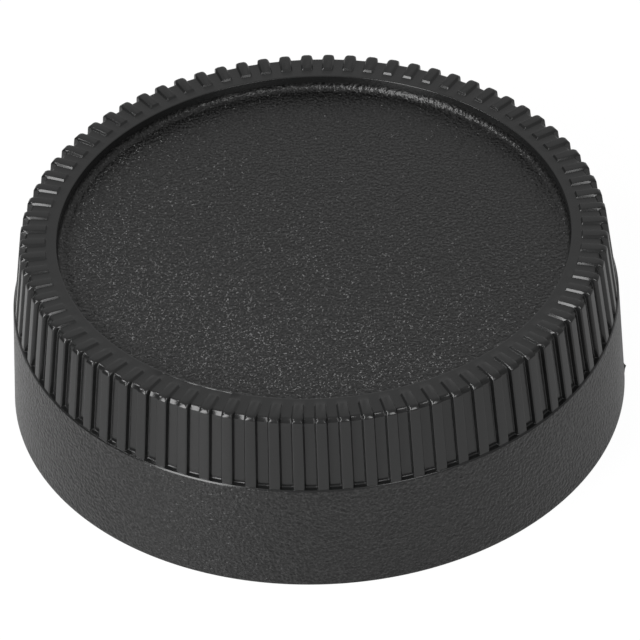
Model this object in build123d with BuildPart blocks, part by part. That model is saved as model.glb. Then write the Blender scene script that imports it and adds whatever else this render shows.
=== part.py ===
from build123d import *

import os
from math import radians, tan

# Rear lens cap, moulded in one piece: a shallow cup that stands on its mouth, with a plain tapered skirt,
# a ribbed grip above it, a sunk top and bayonet lugs inside. The origin is the centre of the mouth plane,
# +Z is the cup's axis towards the closed top, and sizes are in millimetres and degrees.

# Skirt
base_diameter = 60.0
skirt_height = 11.24
skirt_draft = 2.89

# Ribbed grip, with a chamfer from the side to the rim: its run along the rim and its drop down the side
rib_count = 80
rib_width = 1.14
rib_height = 0.45
rib_rise = 0.26
rib_setback = 0.15
rib_draft = 6.92
rib_length = 2.06
rib_end_rise = 0.22
rib_end_run = 0.14
rib_chamfer_run = 0.3
rib_chamfer_drop = 0.33
rib_root_depth = 0.4
grip_height = 7.47
grip_draft = 7.36
rim_chamfer_run = 0.17
rim_chamfer_drop = 0.45

# Sunk top
rim_margin = 0.98
recess_depth = 1.52
recess_chamfer = 0.5
top_thickness = 2.0

# Inside
mouth_wall = 2.6
mouth_depth = 2.4
mouth_lead_in = 0.4
shoulder_width = 0.65
cavity_draft = 3.0

# Bayonet lugs, each with a stop that ends the turn
lug_count = 3
lug_angle = 56.0
lug_reach = 3.6
lug_thickness = 1.6
stop_angle = 4.0
stop_height = 2.0

# Radii and heights that follow from the sizes above
rim_z = skirt_height + grip_height
rim_chamfer_z = rim_z - rim_chamfer_drop
rib_top_z = rim_z + rib_rise
rib_chamfer_z = rib_top_z - rib_chamfer_drop
rib_root_z = skirt_height - rib_root_depth
recess_z = rim_z - recess_depth
ceiling_z = recess_z - top_thickness

base_radius = base_diameter / 2
lip_radius = base_radius - skirt_height * tan(radians(skirt_draft))
mouth_radius = base_radius - mouth_wall
lug_tip_radius = mouth_radius - lug_reach
cavity_foot_radius = mouth_radius - shoulder_width
cavity_top_radius = cavity_foot_radius - (ceiling_z - mouth_depth) * tan(radians(cavity_draft))


def rib_radius(z):
    """Radius of the ribs' crests at a height on the tapered grip."""
    return lip_radius - rib_setback - (z - skirt_height) * tan(radians(rib_draft))


def groove_radius(z):
    """Radius of the grooves' floors at a height on the tapered grip."""
    return lip_radius - rib_setback - rib_height - (z - skirt_height) * tan(radians(grip_draft))


rib_inner_radius = groove_radius(rim_z) - rib_length
recess_radius = rib_inner_radius - rim_margin

# One rib: a bar up the side of the grip, over its chamfer and inward along the rim, rooted in the wall
with BuildPart() as rib:
    with BuildSketch(Plane.XZ) as rib_section:
        with BuildLine():
            Polyline(
                (rib_radius(rib_root_z), rib_root_z),
                (rib_radius(rib_chamfer_z), rib_chamfer_z),
                (rib_radius(rib_top_z) - rib_chamfer_run, rib_top_z),
                (rib_inner_radius + rib_end_run, rim_z + rib_end_rise),
                (rib_inner_radius, rim_z),
                (rib_inner_radius, rim_z - rib_root_depth),
                (groove_radius(rim_z) - rib_root_depth, rim_z - rib_root_depth),
                (groove_radius(rib_root_z) - rib_root_depth, rib_root_z),
                close=True,
            )
        make_face()
    extrude(amount=rib_width / 2, both=True)

# One lug: a flat tongue that reaches inward from the wall, with the stop standing on one end
with BuildPart() as lug:
    with BuildSketch(Plane.XZ) as tongue_section:
        with Locations((lug_tip_radius, mouth_depth)):
            Rectangle(lug_reach, lug_thickness, align=Align.MIN)
    revolve(axis=Axis.Z, revolution_arc=lug_angle)
    with BuildSketch(Plane.XZ) as stop_section:
        with Locations((lug_tip_radius, mouth_depth)):
            Rectangle(lug_reach, lug_thickness + stop_height, align=Align.MIN)
    revolve(axis=Axis.Z, revolution_arc=stop_angle)

# The cup, turned from its half section, with the lugs inside and the ribs round the grip
with BuildPart() as cap:
    with BuildSketch(Plane.XZ) as cup_section:
        with BuildLine():
            Polyline(
                (mouth_radius + mouth_lead_in, 0),
                (base_radius, 0),
                (lip_radius, skirt_height),
                (groove_radius(skirt_height), skirt_height),
                (groove_radius(rim_chamfer_z), rim_chamfer_z),
                (groove_radius(rim_z) - rim_chamfer_run, rim_z),
                (recess_radius, rim_z),
                (recess_radius, recess_z + recess_chamfer),
                (recess_radius - recess_chamfer, recess_z),
                (0, recess_z),
                (0, ceiling_z),
                (cavity_top_radius, ceiling_z),
                (cavity_foot_radius, mouth_depth),
                (mouth_radius, mouth_depth),
                (mouth_radius, mouth_lead_in),
                close=True,
            )
        make_face()
    revolve(axis=Axis.Z)
    with PolarLocations(0, lug_count, start_angle=90 - lug_angle / 2):
        add(lug.part)
    with PolarLocations(0, rib_count, start_angle=-90):
        add(rib.part)

cap.part.label = "cap"
os.makedirs("parts", exist_ok=True)
export_step(cap.part, "parts/cap.step")
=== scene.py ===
from math import cos, pi, radians, sin, tan

import bpy
from mathutils import Matrix, Vector


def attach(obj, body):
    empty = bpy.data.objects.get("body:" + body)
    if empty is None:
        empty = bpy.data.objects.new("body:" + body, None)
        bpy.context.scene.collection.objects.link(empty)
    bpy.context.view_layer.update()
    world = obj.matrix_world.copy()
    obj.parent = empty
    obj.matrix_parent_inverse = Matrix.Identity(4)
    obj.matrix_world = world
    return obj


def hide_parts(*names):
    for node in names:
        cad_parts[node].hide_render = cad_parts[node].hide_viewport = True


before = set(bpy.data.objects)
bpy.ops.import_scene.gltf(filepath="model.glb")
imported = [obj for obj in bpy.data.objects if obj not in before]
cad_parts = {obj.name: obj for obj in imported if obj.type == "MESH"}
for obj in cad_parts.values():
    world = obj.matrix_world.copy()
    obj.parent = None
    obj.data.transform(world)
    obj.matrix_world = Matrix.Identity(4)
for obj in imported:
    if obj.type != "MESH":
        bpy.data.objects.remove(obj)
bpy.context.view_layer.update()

# The cap
# One injection moulding in black plastic: a shallow cup that lies on its mouth. A plain tapered skirt
# carries a ribbed grip, the top is sunk inside a smooth rim, and bayonet lugs stand on the wall inside.

mm = 0.001


def rounded(corners):
    """Points of an open outline; a corner (x, y, radius, steps) becomes an arc of that many points."""
    outline = []
    for index, (x, y, *arc) in enumerate(corners):
        corner = Vector((x, y))
        if not arc:
            outline.append(corner)
            continue
        radius, steps = arc
        back = (Vector(corners[index - 1][:2]) - corner).normalized()
        ahead = (Vector(corners[index + 1][:2]) - corner).normalized()
        half_angle = back.angle(ahead) / 2
        centre = corner + (back + ahead).normalized() * radius / sin(half_angle)
        first = (corner + back * radius / tan(half_angle) - centre).normalized()
        last = (corner + ahead * radius / tan(half_angle) - centre).normalized()
        outline += [centre + first.slerp(last, step / (steps - 1)) * radius for step in range(steps)]
    return outline


def nearness(angle, middle, half_angle):
    """1 at the middle of a stretch around the cap, falling to 0 at its ends."""
    return max(0, 1 - abs((angle - middle + pi) % (2 * pi) - pi) / half_angle)


# The skirt's half section in millimetres, from the mouth's edge up to the bevelled lip under the grip. A
# thorn of flash, torn off at the mould's parting line, stands out of it at one place.
base_radius = 30.0
mouth_wall = 2.6
mouth_radius = base_radius - mouth_wall
mouth_lead_in = 0.4
skirt_height = 11.24
skirt_slope = tan(radians(2.89))
lip_radius = base_radius - skirt_height * skirt_slope
lip_drop = 0.16
lip_run = 0.09
lip_width = 0.12
nib_angle = radians(-1.35)
nib_half_angle = radians(0.3)
nib_height = 0.22
nib_foot_z = 0.35
nib_tip_z = 0.95
nib_top_z = 1.15
nib_rows = [nib_foot_z, (nib_foot_z + nib_tip_z) / 2, nib_tip_z, nib_top_z]
skirt_outline = rounded([
    (mouth_radius + mouth_lead_in, 0),
    (base_radius, 0, 0.05, 3),
    *[(base_radius - z * skirt_slope, z) for z in nib_rows],
    (lip_radius + lip_drop * skirt_slope, skirt_height - lip_drop, 0.1, 3),
    (lip_radius - lip_run, skirt_height),
])[:-1]
lip = rounded([
    skirt_outline[-1],
    (lip_radius - lip_run, skirt_height, 0.04, 4),
    (lip_radius - lip_width, skirt_height),
])[1:]


def skirt(angle):
    """The skirt's half section at an angle around the cap."""
    near = nearness(angle, nib_angle, nib_half_angle)
    section = []
    for r, z in skirt_outline:
        rise = min((z - nib_foot_z) / (nib_tip_z - nib_foot_z), (nib_top_z - z) / (nib_top_z - nib_tip_z))
        section.append(Vector((r + nib_height * near * max(0, rise), z)))
    return section


# The grip's half section along the crest of a rib and along the floor of a groove, point for point. Both
# turn over a chamfer onto the rim, where the rib runs on to its inner end.
grip_height = 7.47
grip_slope = tan(radians(7.36))
rim_z = skirt_height + grip_height
rim_chamfer_run = 0.17
rim_chamfer_drop = 0.45
rim_chamfer_z = rim_z - rim_chamfer_drop
rib_height = 0.45
rib_setback = 0.15
rib_slope = tan(radians(6.92))
rib_rise = 0.26
rib_top_z = rim_z + rib_rise
rib_chamfer_run = 0.23
rib_chamfer_drop = 0.33
rib_chamfer_z = rib_top_z - rib_chamfer_drop
rib_dome_length = 0.62
rib_dome_drop = 0.01
rib_length = 2.06
rib_end_rise = 0.22
rib_end_run = 0.14
foot_steps = 5
chamfer_steps = 4
dome_steps = 5


def rib_radius(z):
    """Radius of the ribs' crests at a height on the tapered grip."""
    return lip_radius - rib_setback - (z - skirt_height) * rib_slope


def groove_radius(z):
    """Radius of the grooves' floors at a height on the tapered grip."""
    return lip_radius - rib_setback - rib_height - (z - skirt_height) * grip_slope


rib_inner_radius = groove_radius(rim_z) - rib_length
rib_top_radius = rib_radius(rib_top_z) - rib_chamfer_run
rib_end = rounded([
    (rib_radius(rib_top_z), rib_top_z),
    (rib_inner_radius + rib_end_run, rim_z + rib_end_rise, 0.04, 3),
    (rib_inner_radius, rim_z, 0.04, 3),
    (0, rim_z),
])[1:-1]
rib_shoulder = Vector((rib_top_radius - rib_dome_length, rib_top_z - rib_dome_drop))
rib_top = [rib_shoulder] + rib_end
crest = rounded([
    lip[-1],
    (rib_radius(skirt_height), skirt_height, 0.03, foot_steps),
    (rib_radius(rib_chamfer_z), rib_chamfer_z, 0.35, chamfer_steps),
    (rib_top_radius, rib_top_z, 0.42, dome_steps),
    rib_shoulder,
])[1:-1] + rib_top
groove = rounded([
    lip[-1],
    (groove_radius(skirt_height), skirt_height, 0.14, foot_steps),
    (groove_radius(rim_chamfer_z), rim_chamfer_z, 0.15, chamfer_steps),
    (groove_radius(rim_z) - rim_chamfer_run, rim_z, 0.25, dome_steps),
    (rib_inner_radius, rim_z),
])[1:-1] + [Vector((point.x, rim_z)) for point in rib_top]

# A rib is steep up the side of the grip, domed where it turns over the chamfer and drawn in along the rim.
# Each row of points along the grip takes one of these three forms.
rib_count = 80
rib_pitch = 2 * pi / rib_count


def across_rib(crest_half, foot_half, edge_radius):
    """Over one rib, from groove to groove: the angle from its middle and the share of its height."""
    half = [
        (across / groove_radius(rim_z), height / rib_height)
        for across, height in rounded([
            (0, rib_height),
            (crest_half, rib_height, edge_radius, 5),
            (foot_half, 0, 0.06, 4),
            (rib_pitch / 2 * groove_radius(rim_z), 0),
        ])
    ]
    return [(-angle, share) for angle, share in reversed(half[1:-1])] + half


side_rib = across_rib(crest_half=0.49, foot_half=0.62, edge_radius=0.16)
dome_rib = across_rib(crest_half=0.46, foot_half=0.625, edge_radius=0.36)
top_rib = across_rib(crest_half=0.45, foot_half=0.625, edge_radius=0.1)
rib_rows = [side_rib] * (foot_steps + chamfer_steps) + [dome_rib] * dome_steps + [top_rib] * len(rib_top)

# The rim inside the ribs, with a fine burr along one stretch of its edge, and the sunk top with its rounded
# foot. The top's grain starts part of the way down the wall.
rim_margin = 0.98
recess_radius = rib_inner_radius - rim_margin
recess_depth = 1.52
recess_z = rim_z - recess_depth
recess_foot_radius = 0.7
recess_foot_run = 1.2
grain_height = 0.75
grain_z = recess_z + grain_height
burr_width = 0.21
burr_side = 0.03
burr_height = 0.06
burr_angle = radians(-117.5)
burr_half_angle = radians(10.5)
burr_end_slope = 3


def rim(angle):
    """The rim's half section at an angle around the cap."""
    near = nearness(angle, burr_angle, burr_half_angle)
    burr_z = rim_z + burr_height * min(1, burr_end_slope * near)
    return rounded([
        (recess_radius + burr_width, rim_z),
        (recess_radius + burr_width - burr_side, burr_z),
        (recess_radius, burr_z, 0.07, 4),
        (recess_radius, grain_z),
    ])


well = rounded([
    (recess_radius, grain_z),
    (recess_radius, recess_z, recess_foot_radius, 8),
    (recess_radius - recess_foot_run, recess_z),
])[1:]

# The inside, from the ceiling down to the mouth. A lug reaches in to lug_tip_radius between its two ends,
# and its stop stands higher at one end. Between the lugs the wall has bare rows in their place.
top_thickness = 2.0
ceiling_z = recess_z - top_thickness
ceiling_margin = 1.5
mouth_depth = 2.4
shoulder_width = 0.65
cavity_foot_radius = mouth_radius - shoulder_width
cavity_slope = tan(radians(3.0))
lug_count = 3
lug_angle = radians(56.0)
lug_reach = 3.6
lug_tip_radius = mouth_radius - lug_reach
lug_thickness = 1.6
lug_top_z = mouth_depth + lug_thickness
stop_angle = radians(4.0)
stop_height = 2.0
stop_top_z = lug_top_z + stop_height
bare_rows = [3.5, 2.9]


def cavity_radius(z):
    """Radius of the cavity's drafted wall at a height."""
    return cavity_foot_radius - (z - mouth_depth) * cavity_slope


def inside(angle):
    """The inside's half section at an angle around the cap."""
    turn = (angle - pi / 2 + lug_angle / 2) % (2 * pi / lug_count)
    lug_here = turn < lug_angle
    top = stop_top_z if turn < stop_angle else lug_top_z
    lug = [(lug_tip_radius, top), (lug_tip_radius, mouth_depth)]
    bare_wall = [(cavity_radius(z), z) for z in bare_rows]
    return rounded([
        (cavity_radius(ceiling_z) - ceiling_margin, ceiling_z),
        (cavity_radius(ceiling_z), ceiling_z),
        (cavity_radius(top), top),
        *(lug if lug_here else bare_wall),
        (cavity_foot_radius, mouth_depth),
        (mouth_radius, mouth_depth),
        (mouth_radius, mouth_lead_in),
    ])


def around(angle, section):
    """The points of a half section turned to an angle around the cap, in metres."""
    return [(r * cos(angle) * mm, r * sin(angle) * mm, z * mm) for r, z in section]


# One column of points for each step across each rib, from the ceiling inside round to the sunk top. The
# four parts of a column have the four finishes below, in the same order.
points = []
for rib in range(rib_count):
    rib_angle = -pi / 2 + rib * rib_pitch
    for step in range(len(side_rib)):
        outer_angle = rib_angle + side_rib[step][0]
        inner_angle = rib_angle + top_rib[step][0]
        grip = []
        for low, high, rib_row in zip(groove, crest, rib_rows):
            offset, share = rib_row[step]
            grip += around(rib_angle + offset, [low.lerp(high, share)])
        parts = [
            around(outer_angle, inside(outer_angle)),
            around(outer_angle, skirt(outer_angle)),
            around(outer_angle, lip) + grip + around(inner_angle, rim(inner_angle)),
            around(inner_angle, well),
        ]
        points += [point for part in parts for point in part]
row_finishes = [finish for finish, part in enumerate(parts) for point in part]
rows = len(row_finishes)
columns = len(points) // rows

# Faces between neighbouring columns, then one that closes the ceiling and one that closes the sunk top
faces = []
finishes = []
for column in range(columns):
    here = column * rows
    beside = (column + 1) % columns * rows
    for row in range(rows - 1):
        faces.append((here + row, beside + row, beside + row + 1, here + row + 1))
        finishes.append(row_finishes[row + 1])
faces.append([column * rows for column in reversed(range(columns))])
finishes.append(row_finishes[0])
faces.append([column * rows + rows - 1 for column in range(columns)])
finishes.append(row_finishes[-1])

cap_mesh = bpy.data.meshes.new("cap_moulding")
cap_mesh.from_pydata(points, [], faces)
cap_mesh.polygons.foreach_set("material_index", finishes)
cap_mesh.shade_smooth()
cap_mesh.set_sharp_from_angle(angle=radians(50))
cap = bpy.data.objects.new("cap_moulding", cap_mesh)
bpy.context.scene.collection.objects.link(cap)
weighted = cap.modifiers.new("flat_faces", "WEIGHTED_NORMAL")
weighted.weight = 100
weighted.keep_sharp = True


class Shade:
    """A socket of a shader tree. Arithmetic on it adds Math nodes, and node() adds any other node."""

    def __init__(self, tree, socket=None):
        self.tree = tree
        self.socket = socket

    def node(self, kind, settings=None, sockets=None, output=0):
        made = self.tree.nodes.new(kind)
        for name, value in (settings or {}).items():
            setattr(made, name, value)
        for name, value in (sockets or {}).items():
            if isinstance(value, Shade):
                self.tree.links.new(value.socket, made.inputs[name])
            else:
                made.inputs[name].default_value = value
        return Shade(self.tree, made.outputs[output] if made.outputs else None)

    def math(self, operation, *values):
        return self.node("ShaderNodeMath", {"operation": operation}, dict(enumerate(values)))

    def __add__(self, other):
        return self.math("ADD", self, other)

    def __radd__(self, other):
        return self.math("ADD", other, self)

    def __sub__(self, other):
        return self.math("SUBTRACT", self, other)

    def __rsub__(self, other):
        return self.math("SUBTRACT", other, self)

    def __mul__(self, other):
        return self.math("MULTIPLY", self, other)

    def __rmul__(self, other):
        return self.math("MULTIPLY", other, self)


def new_material(name):
    """A new material, and its empty tree as a Shade to build on."""
    material = bpy.data.materials.new(name)
    material.use_nodes = True
    material.node_tree.nodes.clear()
    return material, Shade(material.node_tree)


# The plastic's finishes: satin inside and on the ribs and rim, and the grain of a spark-eroded mould on the
# skirt and the sunk top. The grain has shallow waves, rare flakes that lean to one side and fine speckle.
black = (0.01, 0.0102, 0.0102, 1)
dot_product = {"operation": "DOT_PRODUCT"}
speckle_size = 0.2 * mm
speckle_contrast = 0.05
speckle_threshold = 0.38
darkest_tone = 0.001


def mould_grain(tree, wave_size, wave_depth, flake_size, flake_lean, rarity, rarer_towards):
    """The bump and the tone of grained plastic."""
    place = tree.node("ShaderNodeTexCoord", output="Object")
    broad = {"Vector": place, "Scale": 1 / wave_size, "Detail": 1.0}
    waves = tree.node("ShaderNodeTexNoise", sockets=broad)
    cells = {"Vector": place, "Scale": 1 / flake_size}
    centre = tree.node("ShaderNodeTexVoronoi", sockets=cells, output="Position")
    chance = tree.node("ShaderNodeTexVoronoi", sockets=cells, output="Color")
    offset = tree.node("ShaderNodeVectorMath", {"operation": "SUBTRACT"}, {0: place, 1: centre})
    lean = tree.node("ShaderNodeVectorMath", dot_product, {0: offset, 1: flake_lean}, "Value")
    rarer = tree.node("ShaderNodeVectorMath", dot_product, {0: place, 1: rarer_towards}, "Value")
    flakes = tree.math("MAXIMUM", chance - rarity - rarer, 0.0) * lean
    height = waves * wave_depth + flakes
    bump = tree.node("ShaderNodeBump", sockets={"Height": height, "Distance": 1.0, "Strength": 1.0})
    fine = {"Vector": place, "Scale": 1 / speckle_size, "Detail": 0.0}
    speckle = tree.node("ShaderNodeTexNoise", sockets=fine)
    tone = tree.math("MAXIMUM", speckle_contrast * (speckle - speckle_threshold), darkest_tone)
    return bump, tone


def moulded_black(name, roughness, grain=None):
    """Black plastic, plain or with the mould's grain."""
    material, tree = new_material(name)
    shader = {"Base Color": black, "Roughness": roughness}
    if grain:
        shader["Normal"], shader["Base Color"] = mould_grain(tree, **grain)
    plastic = tree.node("ShaderNodeBsdfPrincipled", sockets=shader)
    tree.node("ShaderNodeOutputMaterial", sockets={"Surface": plastic})
    return material


skirt_grain = {
    "wave_size": 0.33 * mm,
    "wave_depth": 0.17 * mm,
    "flake_size": 0.1 * mm,
    "flake_lean": (0, 0, -2.5),
    "rarity": 0.82,
    "rarer_towards": (0, 0, 0),
}
top_grain = {
    "wave_size": 0.35 * mm,
    "wave_depth": 0.11 * mm,
    "flake_size": 0.1 * mm,
    "flake_lean": (3.2, 7.4, 0),
    "rarity": 0.76,
    "rarer_towards": (2, 3.2, 0),
}
cap_mesh.materials.append(moulded_black("inside_satin", roughness=0.35))
cap_mesh.materials.append(moulded_black("skirt_grain", roughness=0.28, grain=skirt_grain))
cap_mesh.materials.append(moulded_black("grip_satin", roughness=0.2))
cap_mesh.materials.append(moulded_black("top_grain", roughness=0.3, grain=top_grain))

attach(cap, "root")
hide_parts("cap")

# The table
# A plain white sheet under the cap, with a slight gloss. The camera sees it as bright paper with a share of
# its own lit surface, so the cap's soft shadow stays on it. Reflections show less of the bright paper, and
# the glow they show is painted light, brighter towards the front right.

sheet_half = 3.0
sheet_mesh = bpy.data.meshes.new("table_sheet")
sheet_mesh.from_pydata(
    [(x * sheet_half, y * sheet_half, 0) for x, y in ((-1, -1), (1, -1), (1, 1), (-1, 1))],
    [],
    [(0, 1, 2, 3)],
)
sheet = bpy.data.objects.new("table_sheet", sheet_mesh)
bpy.context.scene.collection.objects.link(sheet)

# The shares of bright paper: what the camera sees, and what reflections show, a painted glow that grows
# towards the front right
paper_level = 1.07
seen_share = 0.9
mirrored_share = 0.15
painted_glow_gradient = (1.5, -4, 0)
mirrored_least = 0.12
mirrored_most = 0.3

paper, tree = new_material("white_paper")
seen = tree.node("ShaderNodeLightPath", output="Is Camera Ray")
mirrored = tree.node("ShaderNodeLightPath", output="Is Glossy Ray")
through = tree.node("ShaderNodeLightPath", output="Is Transmission Ray")
place = tree.node("ShaderNodeTexCoord", output="Object")
# Painted light: the glow that reflections show on the sheet grows towards its front right
rise = tree.node("ShaderNodeVectorMath", dot_product, {0: place, 1: painted_glow_gradient}, "Value")
painted_glow = tree.math("MINIMUM", tree.math("MAXIMUM", mirrored_share + rise, mirrored_least), mirrored_most)
lit = tree.node("ShaderNodeBsdfPrincipled", sockets={
    "Base Color": (0.6, 0.6, 0.6, 1),
    "Roughness": 0.35,
    "Specular IOR Level": 0.2,
})
bright = tree.node("ShaderNodeEmission", sockets={"Color": (1, 1, 1, 1), "Strength": paper_level})
surface = tree.node("ShaderNodeMixShader", sockets={
    0: (seen + through) * seen_share + mirrored * painted_glow,
    1: lit,
    2: bright,
})
tree.node("ShaderNodeOutputMaterial", sockets={"Surface": surface})
sheet_mesh.materials.append(paper)

# The light
# A pale studio, brightest behind the table and dimmer overhead and to the sides, most of all to the left. A
# tall soft panel stands at the front left, and two small ones, high at the left and at the front right,
# pick out the ribs' edges.

horizon_level = 0.59
behind_gain = 0.22
behind_fall = 0.2
overhead_loss = 0.18
right_loss = 0.5
left_loss = 1.3
least_share = 0.1

studio = bpy.data.worlds.new("studio")
studio.use_nodes = True
studio.node_tree.nodes.clear()
tree = Shade(studio.node_tree)
direction = tree.node("ShaderNodeTexCoord", output="Generated")
across = tree.node("ShaderNodeSeparateXYZ", sockets={"Vector": direction}, output="X")
depth = tree.node("ShaderNodeSeparateXYZ", sockets={"Vector": direction}, output="Y")
height = tree.node("ShaderNodeSeparateXYZ", sockets={"Vector": direction}, output="Z")
level = horizon_level + (behind_gain - behind_fall * height) * depth - overhead_loss * height
sides = tree.math("MAXIMUM", right_loss * across, -left_loss * across)
share = tree.math("MAXIMUM", 1 - sides * (1 - height), least_share)
background = tree.node("ShaderNodeBackground", sockets={"Color": (1, 1, 1, 1), "Strength": level * share})
tree.node("ShaderNodeOutputWorld", sockets={"Surface": background})
bpy.context.scene.world = studio


def soft_panel(name, place, width, height, watts):
    """An upright area lamp at place, in metres, turned to the cap."""
    lamp_data = bpy.data.lights.new(name, "AREA")
    lamp_data.shape = "RECTANGLE"
    lamp_data.size = width
    lamp_data.size_y = height
    lamp_data.energy = watts
    lamp = bpy.data.objects.new(name, lamp_data)
    lamp.location = place
    lamp.rotation_euler = Vector(place).to_track_quat("Z", "Y").to_euler()
    bpy.context.scene.collection.objects.link(lamp)


soft_panel("key_panel", place=(-0.185, -0.195, 0.14), width=0.12, height=0.26, watts=0.8)
soft_panel("left_panel", place=(-0.205, -0.003, 0.227), width=0.07, height=0.07, watts=0.2)
soft_panel("right_panel", place=(0.115, -0.202, 0.17), width=0.09, height=0.09, watts=0.15)

# The camera
# It looks down on the cap from the front through a long lens, about an arm's length away and rolled a
# little. The cap's origin is aside of the middle of the view and below it, in millimetres like the distance.

photo_width = 640
focal_pixels = 5895.3
elevation = radians(39.464)
roll = radians(2.294)
distance = 580.2
aside = -0.048
below = 5.945

forward = Vector((0, cos(elevation), -sin(elevation)))
level_right = Vector((1, 0, 0))
level_down = forward.cross(level_right)
right = cos(roll) * level_right + sin(roll) * level_down
down = cos(roll) * level_down - sin(roll) * level_right
camera_place = -(aside * right + below * down + distance * forward) * mm

camera_data = bpy.data.cameras.new("camera")
camera_data.sensor_width = 36.0
camera_data.lens = focal_pixels / photo_width * camera_data.sensor_width
camera = bpy.data.objects.new("camera", camera_data)
turned = Matrix((right, -down, -forward)).transposed().to_4x4()
camera.matrix_world = Matrix.Translation(camera_place) @ turned
bpy.context.scene.collection.objects.link(camera)
bpy.context.scene.camera = camera
bpy.context.scene.view_settings.view_transform = "Standard"
